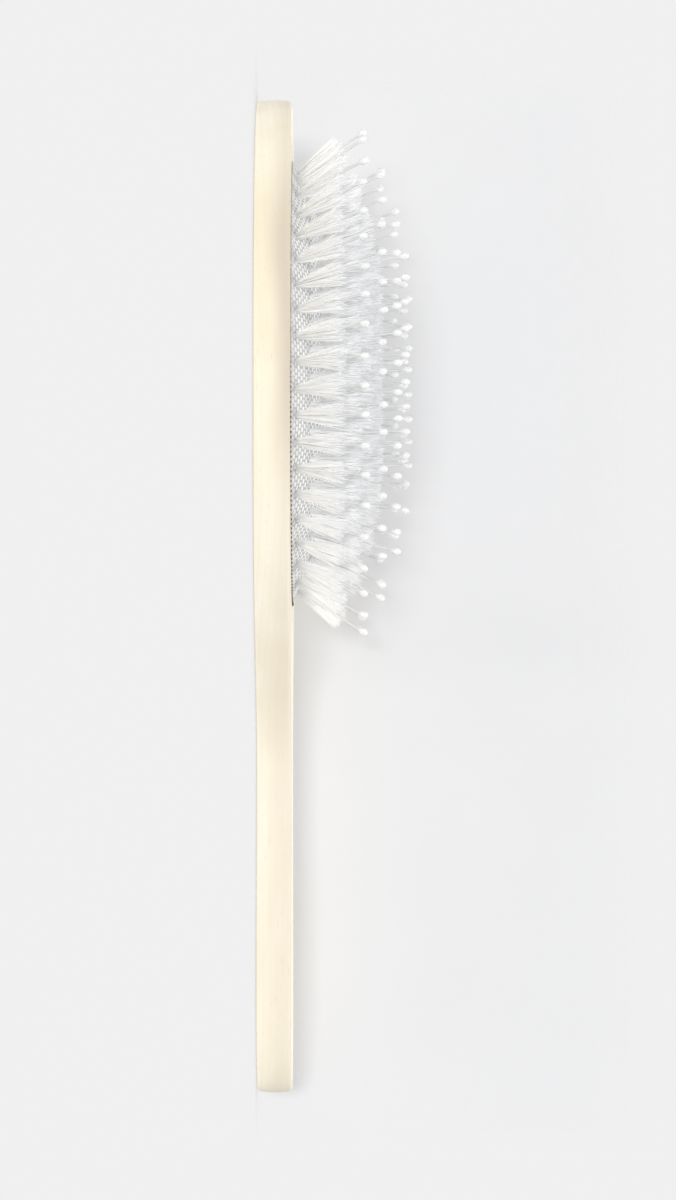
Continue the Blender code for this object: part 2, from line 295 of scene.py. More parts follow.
def merge_doubles(obj: bpy.types.Object) -> bpy.types.Object:
    """Merge doubled points of a mesh, such as those where a grid's row folds onto a line.

    Args:
        obj: The mesh object.

    Returns:
        The same object.
    """
    builder = bmesh.new()
    builder.from_mesh(obj.data)
    bmesh.ops.remove_doubles(builder, verts=builder.verts[:], dist=WELD)
    builder.to_mesh(obj.data)
    builder.free()
    return obj


def seat(obj: bpy.types.Object, body: Body, nodes: tuple[str, ...] = ()) -> None:
    """Let a piece ride on its body, and say which CAD nodes it stands for.

    Args:
        obj: The piece.
        body: The body that carries it.
        nodes: The CAD nodes that it replaces.
    """
    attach(obj, body.value)
    if nodes:
        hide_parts(*nodes)
    log.info("%s rides on %s with %d faces", obj.name, body.value, len(obj.data.polygons))


@dataclass(frozen=True)
class Grain:
    """Noise: how many grains it has per metre, on all axes or on each, how many octaves and how rough they
    are, and the range of it that is carried onto another one."""

    scale: Triple | float
    detail: float = 2.0
    within: Span | None = None
    roughness: float = 0.5


class ShaderGraph:
    """The nodes of a material or of the world, added and wired one by one."""

    def __init__(self, owner: bpy.types.Material | bpy.types.World) -> None:
        """Start with nothing but an output.

        Args:
            owner: The material or the world.
        """
        owner.use_nodes = True
        self.owner = owner
        self.tree = owner.node_tree
        self.tree.nodes.clear()
        self.output = self.add("OutputWorld" if isinstance(owner, bpy.types.World) else "OutputMaterial")

    @classmethod
    def named(cls, name: str) -> ShaderGraph:
        """Start a new material."""
        return cls(bpy.data.materials.new(name))

    def add(self, kind: str, inputs: dict[str | int, Any] | None = None, **settings: Any) -> bpy.types.Node:
        """Add a node, set its properties, and set or wire its inputs.

        Args:
            kind: The node's type, without its ShaderNode prefix.
            inputs: Values or sockets by the names or numbers of the inputs.
            settings: Properties of the node.

        Returns:
            The node.
        """
        node = self.tree.nodes.new("ShaderNode" + kind)
        for key, value in settings.items():
            setattr(node, key, value)
        for key, value in (inputs or {}).items():
            if isinstance(value, Socket):
                self.tree.links.new(value, node.inputs[key])
            else:
                node.inputs[key].default_value = value
        return node

    def maths(self, operation: str, *values: Socket | float) -> Socket:
        """A Math node's result on sockets or numbers."""
        return self.add("Math", dict(enumerate(values)), operation=operation).outputs[0]

    def times(self, value: Socket | float, factor: Socket | float) -> Socket:
        """The product of two values."""
        return self.maths("MULTIPLY", value, factor)

    def blend(self, share: Socket | float, low: Socket | Triple, high: Socket | Triple) -> Socket:
        """Mix two colours by the share of the second one."""
        shades = [value if isinstance(value, Socket) else (*value, 1.0) for value in (low, high)]
        return self.add("Mix", {0: share, 6: shades[0], 7: shades[1]}, data_type="RGBA").outputs[2]

    def remap(
        self, value: Socket, low: float, high: float, to_low: float = 0.0, to_high: float = 1.0
    ) -> Socket:
        """Carry the range from low to high smoothly onto that from to_low to to_high, clamped."""
        inputs = {"Value": value, "From Min": low, "From Max": high, "To Min": to_low, "To Max": to_high}
        return self.add("MapRange", inputs, interpolation_type="SMOOTHSTEP").outputs[0]

    def coordinates(self) -> Socket:
        """The Object coordinates, in metres."""
        return self.add("TexCoord").outputs["Object"]

    def noise(self, grain: Grain, to_low: float = 0.0, to_high: float = 1.0) -> Socket:
        """Noise between 0 and 1, or its range carried smoothly onto another one.

        Args:
            grain: The noise.
            to_low: What the low end of its range becomes.
            to_high: What the high end of its range becomes.

        Returns:
            The noise.
        """
        scale = grain.scale if isinstance(grain.scale, tuple) else (grain.scale,) * 3
        place = self.add("Mapping", {"Vector": self.coordinates(), "Scale": scale}).outputs[0]
        inputs = {"Vector": place, "Scale": 1.0, "Detail": grain.detail, "Roughness": grain.roughness}
        noise = self.add("TexNoise", inputs).outputs["Fac"]
        return self.remap(noise, *grain.within, to_low, to_high) if grain.within else noise

    def attribute(self, name: str) -> Socket:
        """A number that the mesh carries at its points."""
        return self.add("Attribute", attribute_name=name).outputs["Fac"]

    def bump(self, height: Socket, strength: float, distance: float) -> Socket:
        """Turn a height between 0 and 1 into a bumped normal. The distance is how deep a height of one is."""
        return self.add("Bump", {"Height": height, "Strength": strength, "Distance": distance}).outputs[0]

    def looked_at(self) -> Socket:
        """Tell what is seen from what only gives light.

        Returns:
            1 for what is seen, also in gloss and through nylon, and 0 for the rest.
        """
        path = self.add("LightPath").outputs
        mirrored = self.maths("MAXIMUM", path["Is Glossy Ray"], path["Is Transmission Ray"])
        return self.maths("MAXIMUM", path["Is Camera Ray"], mirrored)

    def mix(self, share: Socket | float, first: bpy.types.Node, second: bpy.types.Node) -> bpy.types.Node:
        """Mix two shaders by the share of the second one."""
        return self.add("MixShader", {0: share, 1: first.outputs[0], 2: second.outputs[0]})

    def finish(self, shader: bpy.types.Node) -> bpy.types.Material | bpy.types.World:
        """Wire the last shader to the output and hand over the material or the world."""
        self.tree.links.new(shader.outputs[0], self.output.inputs["Surface"])
        return self.owner


@dataclass(frozen=True)
class PaleWood:
    """Pale, fine-grained wood, sanded and waxed: soft lengthwise mottle, faint growth lines and short flecks.
    Its side has a browner band of painted shade under the face, most of all at the head, and painted light
    makes it paler towards both ends."""

    head_colour: Triple = (0.870, 0.792, 0.618)
    grip_colour: Triple = (0.892, 0.833, 0.704)
    line_colour: Triple = (0.740, 0.630, 0.430)
    # Painted shade: the browner band along the top of the side, strongest at the head.
    side_shade_colour: Triple = (0.640, 0.560, 0.455)
    fleck_colour: Triple = (0.700, 0.540, 0.340)
    # Painted light: the side is paler towards both ends, where it turns away from the lamps.
    end_light_colour: Triple = (0.965, 0.908, 0.768)
    head_to_grip: Span = (-0.070, 0.000)
    to_end: Span = (0.080, 0.118)
    end_light_share: float = 0.85
    side_shade_x: float = -0.064
    side_shade_reach: Span = (0.012, 0.055)
    side_shade_rise: Span = (0.0030, 0.0082)
    side_shade_top: Span = (0.00825, 0.00831)
    side_shade_far_share: float = 0.30
    side_shade_waves: float = 0.0020
    mottle: Grain = Grain((28, 160, 160), 3.0, (0.34, 0.70))
    mottle_share: float = 0.22
    clouds: Grain = Grain((14, 45, 45), 1.0, (0.35, 0.68))
    cloud_share: float = 0.14
    line_sine: Span = (0.55, 1.0)
    line_share: float = 0.12
    line_spacing: float = 0.0017
    line_slope: float = 0.12
    drift: Grain = Grain((9, 30, 30), 1.0)
    line_drift: float = 14.0
    flecks: Grain = Grain((300, 2600, 2600), 1.0, (0.66, 0.78))
    fleck_share: float = 0.30
    fibres: Grain = Grain((520, 7000, 7000), roughness=0.6)
    fibre_share: float = 0.5
    relief: float = 0.00006
    relief_strength: float = 0.35
    wear: Grain = Grain((90, 500, 500), within=MIDDLE)
    roughness: Span = (0.46, 0.60)
    specular: float = 0.35

    def material(self) -> bpy.types.Material:
        """Colour runs from head to grip, and noise that is drawn out along the board gives the grain. A
        growth line shows where sin(tau * (z + slope * y) / spacing + drift) is large.

        Returns:
            The material.
        """
        graph = ShaderGraph.named("pale_wood")
        x, y, z = graph.add("SeparateXYZ", {0: graph.coordinates()}).outputs
        cloud = graph.noise(self.clouds)
        body = graph.blend(graph.remap(x, *self.head_to_grip), self.head_colour, self.grip_colour)
        # Painted light: paler colour towards both ends of the board.
        at_end = graph.remap(graph.maths("ABSOLUTE", x), *self.to_end, 0.0, self.end_light_share)
        base = graph.blend(at_end, body, self.end_light_colour)
        warmed = graph.blend(graph.noise(self.mottle, 0.0, self.mottle_share), base, self.line_colour)
        clouded = graph.blend(graph.times(cloud, self.cloud_share), warmed, self.line_colour)
        # Painted shade: browner towards the top of the side, most of all near the head.
        rise = graph.remap(graph.maths("MULTIPLY_ADD", cloud, self.side_shade_waves, z), *self.side_shade_rise)
        edge = graph.times(rise, graph.remap(z, *self.side_shade_top, 1.0, 0.0))
        from_side_shade = graph.maths("ABSOLUTE", graph.maths("SUBTRACT", x, self.side_shade_x))
        side_shade = graph.times(edge, graph.remap(from_side_shade, *self.side_shade_reach, 1.0, self.side_shade_far_share))
        side_shaded = graph.blend(side_shade, clouded, self.side_shade_colour)
        drift = graph.times(graph.noise(self.drift), self.line_drift)
        depth = graph.maths("ADD", z, graph.times(y, self.line_slope))
        rings = graph.maths("MULTIPLY_ADD", depth, math.tau / self.line_spacing, drift)
        line = graph.remap(graph.maths("SINE", rings), *self.line_sine, 0.0, self.line_share)
        lined = graph.blend(line, side_shaded, self.line_colour)
        fleck = graph.noise(self.flecks)
        fibres = graph.times(graph.noise(self.fibres), self.fibre_share)
        height = graph.maths("SUBTRACT", fibres, fleck)
        return graph.finish(graph.add("BsdfPrincipled", {
            "Base Color": graph.blend(graph.times(fleck, self.fleck_share), lined, self.fleck_colour),
            "Roughness": graph.noise(self.wear, *self.roughness),
            "Normal": graph.bump(height, self.relief_strength, self.relief),
            "Specular IOR Level": self.specular,
        }))


@dataclass(frozen=True)
class WovenCloth:
    """Coarse weave. White warp yarns run along the brush and float over grey weft yarns, which show as small
    dark dots, staggered from one warp yarn to the next. Painted shade darkens the grooves between the warp
    yarns and the hollows where they dive, and painted light makes the weave paler next to the wood. Its
    turned edge is tan. The mesh carries how near the rim a point is, as rim."""

    warp_colour: Triple = (0.985, 0.985, 0.980)
    weft_colour: Triple = (0.680, 0.680, 0.670)
    # Painted shade in the grooves and hollows of the weave.
    shade_colour: Triple = (0.330, 0.325, 0.315)
    # Painted light: the weave is paler next to the wood, lifting the shade there.
    painted_light_colour: Triple = (0.930, 0.945, 0.940)
    seam_colour: Triple = (0.560, 0.490, 0.380)
    warp_pitch: float = 0.00100
    weft_pitch: float = 0.00080
    wandering: Grain = Grain((180, 180, 0), 1.0)
    wander: float = 0.00030
    float_rise: Span = (0.35, 0.75)
    float_width: Span = (0.15, 0.75)
    groove_width: Span = (0.05, 0.45)
    groove_shade: float = 0.55
    hollow_rise: Span = (0.0, 0.35)
    hollow_shade: float = 0.42
    patches: Grain = Grain(260, within=(0.35, 0.65))
    worn_share: float = 0.12
    painted_light_rim: Span = (0.93, 0.985)
    painted_light_share: float = 0.55
    seam_rim: Span = (0.987, 0.997)
    fuzz: Grain = Grain(9000)
    fuzz_share: float = 0.12
    relief: float = 0.00014
    relief_strength: float = 0.7
    roughness: Span = (0.92, 0.78)
    sheen: float = 0.10
    specular: float = 0.25

    def material(self) -> bpy.types.Material:
        """With v counted in warp yarns, u in weft yarns, and every other warp yarn shifted by one weft yarn,
        a warp yarn is sin(pi v) high across and floats over the weft where sin(pi u / 2) is large.

        Returns:
            The material.
        """
        graph = ShaderGraph.named("woven_cloth")
        x, y, _ = graph.add("SeparateXYZ", {0: graph.coordinates()}).outputs
        noise = graph.noise(self.wandering)
        wander = graph.maths("MULTIPLY_ADD", noise, self.wander, -self.wander / 2)
        u = graph.maths("DIVIDE", graph.maths("ADD", x, wander), 2 * self.weft_pitch)
        v = graph.maths("DIVIDE", graph.maths("ADD", y, wander), self.warp_pitch)
        shift = graph.times(graph.maths("FLOORED_MODULO", graph.maths("FLOOR", v), 2.0), 0.5)
        along = graph.maths("FRACT", graph.maths("ADD", u, shift))
        rise = graph.maths("SINE", graph.times(along, math.pi))
        across = graph.maths("SINE", graph.times(graph.maths("FRACT", v), math.pi))
        floats = graph.remap(rise, *self.float_rise)
        warp = graph.times(floats, graph.remap(across, *self.float_width))
        yarn = graph.blend(warp, self.weft_colour, self.warp_colour)
        # Painted shade: darker in the grooves between the warp yarns and in the hollows where they dive.
        groove = graph.remap(across, *self.groove_width, self.groove_shade, 0.0)
        hollow = graph.remap(rise, *self.hollow_rise, self.hollow_shade, 0.0)
        woven = graph.blend(graph.maths("MAXIMUM", groove, hollow), yarn, self.shade_colour)
        worn = graph.blend(graph.noise(self.patches, 0.0, self.worn_share), woven, self.weft_colour)
        rim = graph.attribute("rim")
        # Painted light: paler weave near the rim.
        painted_light = graph.remap(rim, *self.painted_light_rim, 0.0, self.painted_light_share)
        colour = graph.blend(painted_light, worn, self.painted_light_colour)
        height = graph.maths("MULTIPLY_ADD", graph.noise(self.fuzz), self.fuzz_share, warp)
        return graph.finish(graph.add("BsdfPrincipled", {
            "Base Color": graph.blend(graph.remap(rim, *self.seam_rim), colour, self.seam_colour),
            "Roughness": graph.remap(warp, 0.0, 1.0, *self.roughness),
            "Normal": graph.bump(height, self.relief_strength, self.relief),
            "Sheen Weight": self.sheen,
            "Specular IOR Level": self.specular,
        }))


@dataclass(frozen=True)
class Nylon:
    """Milky nylon that lets light through. The mesh carries how far along a strand a point is, as along,
    and a number of its own for each strand, as lot."""

    name: str
    # Painted shade: the greyer colour at a filament's root or along a pin's shaft.
    shaded_root_colour: Triple
    tip_colour: Triple
    roughness: Span
    through_share: float
    paler: Span = (0.0, 0.65)
    clear_share: float = 0.0
    streaks: Grain = Grain(900, 1.0, MIDDLE)
    wear: Grain = Grain(2500, 1.0, MIDDLE)
    lot_contrast: float = 0.14
    specular: float = 0.5
    refraction: float = 1.53

    def material(self) -> bpy.types.Material:
        """Strands have painted shade, greyer at the root, and differ a little from one to the next.

        Returns:
            The material.
        """
        graph = ShaderGraph.named(self.name)
        # Painted shade: the colour runs from the greyer root colour to the tip colour along each strand.
        along = graph.remap(graph.attribute("along"), *self.paler)
        base = graph.blend(along, self.shaded_root_colour, self.tip_colour)
        lot = graph.times(graph.attribute("lot"), self.lot_contrast)
        streak = graph.noise(self.streaks, 0.0, self.lot_contrast)
        colour = graph.blend(graph.maths("ADD", lot, streak), base, self.shaded_root_colour)
        solid = graph.add("BsdfPrincipled", {
            "Base Color": colour,
            "Roughness": graph.noise(self.wear, *self.roughness),
            "Specular IOR Level": self.specular,
            "IOR": self.refraction,
            "Transmission Weight": self.clear_share,
        })
        through = graph.add("BsdfTranslucent", {"Color": colour})
        return graph.finish(graph.mix(self.through_share, solid, through))


@dataclass(frozen=True)
class GreyRubber:
    """Matt moulded rubber with a fine bloom."""

    colour: Triple = (0.300, 0.300, 0.300)
    bloom_colour: Triple = (0.420, 0.420, 0.410)
    bloom: Grain = Grain(300, 3.0)
    wear: Grain = Grain(700, within=MIDDLE)
    roughness: Span = (0.66, 0.80)
    pores: Grain = Grain(5000)
    relief: float = 0.00003
    relief_strength: float = 0.3

    def material(self) -> bpy.types.Material:
        """Two greys mixed by a coarse noise, and a fine one as bump.

        Returns:
            The material.
        """
        graph = ShaderGraph.named("grey_rubber")
        return graph.finish(graph.add("BsdfPrincipled", {
            "Base Color": graph.blend(graph.noise(self.bloom), self.colour, self.bloom_colour),
            "Roughness": graph.noise(self.wear, *self.roughness),
            "Normal": graph.bump(graph.noise(self.pores), self.relief_strength, self.relief),
        }))


@dataclass(frozen=True)
class DarkThread:
    """Dark brown twisted thread. The mesh carries how far round and along a stitch a point is, as twist."""

    colour: Triple = (0.125, 0.092, 0.066)
    light_colour: Triple = (0.260, 0.205, 0.155)
    pale_thread_colour: Triple = (0.800, 0.775, 0.745)
    ply_sine: Span = (-0.2, 1.0)
    ply_share: float = 0.7
    pale_thread_share: float = 0.85
    dark_to_pale: Span = (-0.040, -0.064)
    wear: Grain = Grain(4000, within=MIDDLE)
    roughness: Span = (0.60, 0.78)
    relief: float = 0.00004
    relief_strength: float = 0.5

    def material(self) -> bpy.types.Material:
        """The plies show as light bands across each stitch, and the thread turns pale towards the tip.

        Returns:
            The material.
        """
        graph = ShaderGraph.named("dark_thread")
        twist = graph.times(graph.attribute("twist"), math.tau)
        ply = graph.remap(graph.maths("SINE", twist), *self.ply_sine)
        twisted = graph.blend(graph.times(ply, self.ply_share), self.colour, self.light_colour)
        x = graph.add("SeparateXYZ", {0: graph.coordinates()}).outputs[0]
        paling = graph.remap(x, *self.dark_to_pale, 0.0, self.pale_thread_share)
        return graph.finish(graph.add("BsdfPrincipled", {
            "Base Color": graph.blend(paling, twisted, self.pale_thread_colour),
            "Roughness": graph.noise(self.wear, *self.roughness),
            "Normal": graph.bump(ply, self.relief_strength, self.relief),
        }))


@dataclass(frozen=True)
class StudioSurface:
    """A plain pale surface of the stage that is seen from its front alone. To the camera it is partly a plain
    glow, so that it comes out as pale as the background, and partly matt, so that it keeps the shadows. It is
    shaded as if it were flat, so that no bend of it shows."""

    name: str
    glow: float
    faces: Triple
    matt_share: float = 0.55
    matt_colour: Triple = (0.790, 0.795, 0.812)
    grain: Grain = Grain(40, within=MIDDLE)
    grain_depth: float = 0.015

    def material(self) -> bpy.types.Material:
        """The surface is clear from behind, and fades out as its away attribute goes from 0 to 1.

        Returns:
            The material.
        """
        graph = ShaderGraph.named(self.name)
        darker = tuple(channel * (1 - self.grain_depth) for channel in self.matt_colour)
        colour = graph.blend(graph.noise(self.grain), darker, self.matt_colour)
        matt = graph.add("BsdfDiffuse", {"Color": colour, "Normal": self.faces})
        glow = graph.add("Emission", {"Color": WHITE, "Strength": self.glow})
        lit = graph.mix(graph.times(graph.looked_at(), 1 - self.matt_share), matt, glow)
        behind = graph.add("NewGeometry").outputs["Backfacing"]
        hidden = graph.maths("MAXIMUM", behind, graph.remap(graph.attribute("away"), 0.0, 1.0))
        return graph.finish(graph.mix(hidden, lit, graph.add("BsdfTransparent")))


@dataclass(frozen=True)
class WoodenBoard:
    """The wooden body: one flat board with a head, a neck and a grip, its edges eased and its sides very
    slightly bowed, with the cushion's recess cut in its face."""

    plan: BrushPlan
    widest_to_neck: float = 0.0920
    neck_to_grip: float = 0.0500
    neck_half_width: float = 0.0108
    grip_half_width: float = 0.0150
    end_fullness: float = 2.25
    shoulder_fullness: float = 1.8
    eased_edge: float = 0.0009
    side_bow: float = 0.00015
    lip_radius: float = 0.00025
    flat_border: float = 0.0005
    seat_clearance: float = 0.0003
    groove_reach: float = 0.0012
    groove_top_drop: float = 0.0010
    groove_bottom_drop: float = 0.0028
    floor_height: float = 0.0033
    sharp_angle: float = math.radians(40)
    columns: int = 720
    samples: int = 600
    edge_steps: int = 8
    side_steps: int = 6
    lip_steps: int = 5

    def half_outline(self) -> np.ndarray:
        """One side of the outline, from the tip to the tail. The ends are superellipses,
        (cos a) ** (2 / f), (sin a) ** (2 / f), the shoulder falls by cos(pi/2 u ** s) ** 2, and the grip
        swells by sin(pi/2 u) ** 2.

        Returns:
            Points, with x and y in the last axis.
        """
        power = 2 / self.end_fullness
        turn = np.linspace(0, math.pi / 2, self.samples)
        part = np.linspace(0, 1, self.samples)[1:]
        widest_x = self.plan.cushion_x
        neck_x = widest_x + self.widest_to_neck
        grip_x = neck_x + self.neck_to_grip
        head, neck, grip = self.plan.head_half_width, self.neck_half_width, self.grip_half_width
        fall = np.cos(math.pi / 2 * part**self.shoulder_fullness) ** 2
        rise = np.sin(math.pi / 2 * part) ** 2
        back = turn[::-1][1:]
        return np.concatenate([
            np.column_stack([
                widest_x - (widest_x - self.plan.tip_x) * np.cos(turn) ** power,
                head * np.sin(turn) ** power,
            ]),
            np.column_stack([widest_x + self.widest_to_neck * part, neck + (head - neck) * fall]),
            np.column_stack([neck_x + self.neck_to_grip * part, neck + (grip - neck) * rise]),
            np.column_stack([
                grip_x + (self.plan.tail_x - grip_x) * np.abs(np.cos(back)) ** power,
                grip * np.abs(np.sin(back)) ** power,
            ]),
        ])

    def outline(self) -> tuple[np.ndarray, np.ndarray]:
        """The whole outline at equal steps of length, and the unit vectors that point into the wood there.

        Returns:
            Points and inward vectors, with x and y in the last axis.
        """
        half = self.half_outline()
        lengths = lengths_along(half)
        even = np.linspace(0, lengths[-1], self.columns // 2 + 1)
        side = np.column_stack([np.interp(even, lengths, half[:, axis]) for axis in (0, 1)])
        points = np.concatenate([side, side[-2:0:-1] * (1, -1)])
        along = np.roll(points, -1, axis=0) - np.roll(points, 1, axis=0)
        return points, unit(np.column_stack([along[:, 1], -along[:, 0]]))

    def side_profile(self) -> tuple[np.ndarray, np.ndarray]:
        """The profile of the side, from the back's flat to the face's: a quarter round, a side bowed by a
        parabola, and a quarter round. A narrow border on both flats keeps them evenly shaded.

        Returns:
            How far each step is moved into the wood, and its height.
        """
        turn = np.linspace(0, math.pi / 2, self.edge_steps)
        round_in = self.side_bow + self.eased_edge * (1 - np.sin(turn))
        round_up = self.eased_edge * (1 - np.cos(turn))
        bow = np.linspace(-1, 1, self.side_steps + 2)[1:-1]
        face, middle = self.plan.thickness, self.plan.thickness / 2
        side_up = middle + bow * (middle - self.eased_edge)
        border = [round_in[0] + self.flat_border]
        inset = np.concatenate([border, round_in, self.side_bow * bow**2, round_in[::-1], border])
        return inset, np.concatenate([[0.0], round_up, side_up, face - round_up[::-1], [face]])

    def recess_profile(self) -> tuple[np.ndarray, np.ndarray]:
        """The profile of the recess, from a border on the face over its softened lip and past the groove for
        the bead to its floor.

        Returns:
            How far each step stands outside the cushion's edge, and its height.
        """
        turn = np.linspace(0, math.pi / 2, self.lip_steps)
        face = self.plan.thickness
        wall, reach = self.seat_clearance, self.groove_reach
        lip_out = wall + self.lip_radius * (1 - np.sin(turn))
        lip_up = face - self.lip_radius * (1 - np.cos(turn))
        top, bottom = face - self.groove_top_drop, face - self.groove_bottom_drop
        out = np.concatenate([[lip_out[0] + self.flat_border], lip_out, [wall, reach, reach, wall, wall]])
        return out, np.concatenate([[face], lip_up, [top, top, bottom, bottom, self.floor_height]])

    def skin(self) -> Skin:
        """Carry the side's profile round the outline, cross the face, and carry the recess's profile round
        the cushion's edge. Up to the neck the face is crossed along rays from the cushion's middle. Past it
        the angle falls evenly with the length that is left to the tail's end, so that no faces overlap.

        Returns:
            The closed skin.
        """
        points, inward = self.outline()
        inset, side_height = self.side_profile()
        side_xy = points[None] + inset[:, None, None] * inward[None]
        out, recess_height = self.recess_profile()
        last = side_xy[-1] - (self.plan.cushion_x, 0)
        ray = np.arctan2(last[:, 1], last[:, 0])
        angle = np.arctan2(self.plan.half_length * np.sin(ray), self.plan.half_width * np.cos(ray))
        steps_left = self.columns // 2 - np.arange(self.columns)
        past_neck = last[:, 0] > self.widest_to_neck
        neck = steps_left[past_neck].max()
        neck_angle = angle[self.columns // 2 - neck]
        angle = np.where(past_neck, neck_angle * steps_left / neck, angle)
        recess_xy = np.stack([self.plan.rim_oval(step, angle) for step in out])
        flat = np.concatenate([side_xy, recess_xy])
        height = np.concatenate([side_height, recess_height])
        return Skin.from_grids(lifted(flat, height[:, None])[:, ::-1])

    def build(self) -> None:
        """Make the board and seat it on the root body in place of its solid."""
        obj = self.skin().piece("wood_board", PaleWood().material())
        obj.data.set_sharp_from_angle(angle=self.sharp_angle)
        seat(obj, Body.ROOT, ("wooden_body",))


@dataclass(frozen=True)
class TuftRow:
    """One oval row of tufts: where it runs, as a share of the way from the ridge to the rim, how far it is
    shifted along itself, as a share of the space between two tufts, and how many tufts it has."""

    body: Body
    nodes: tuple[str, ...]
    at_share: float
    shift_share: float
    tufts: int
    filaments: int
    seed: int

    def angles(self, plan: BrushPlan) -> np.ndarray:
        """Angles that leave equal lengths of level line between the tufts, or of ridge in the middle row.

        Args:
            plan: The brush's shared sizes.

        Returns:
            One angle for each tuft.
        """
        if self.at_share == 0:
            return np.arccos(np.linspace(-1, 1, self.tufts))
        turn = np.linspace(0, math.tau, OVAL_SAMPLES)
        lengths = lengths_along(plan.dome_point(np.full_like(turn, self.at_share), turn))
        return np.interp((np.arange(self.tufts) + self.shift_share) / self.tufts * lengths[-1], lengths, turn)

    def roots(self, plan: BrushPlan) -> np.ndarray:
        """Where the tufts stand on the cloth."""
        return plan.dome_point(np.full(self.tufts, self.at_share), self.angles(plan))


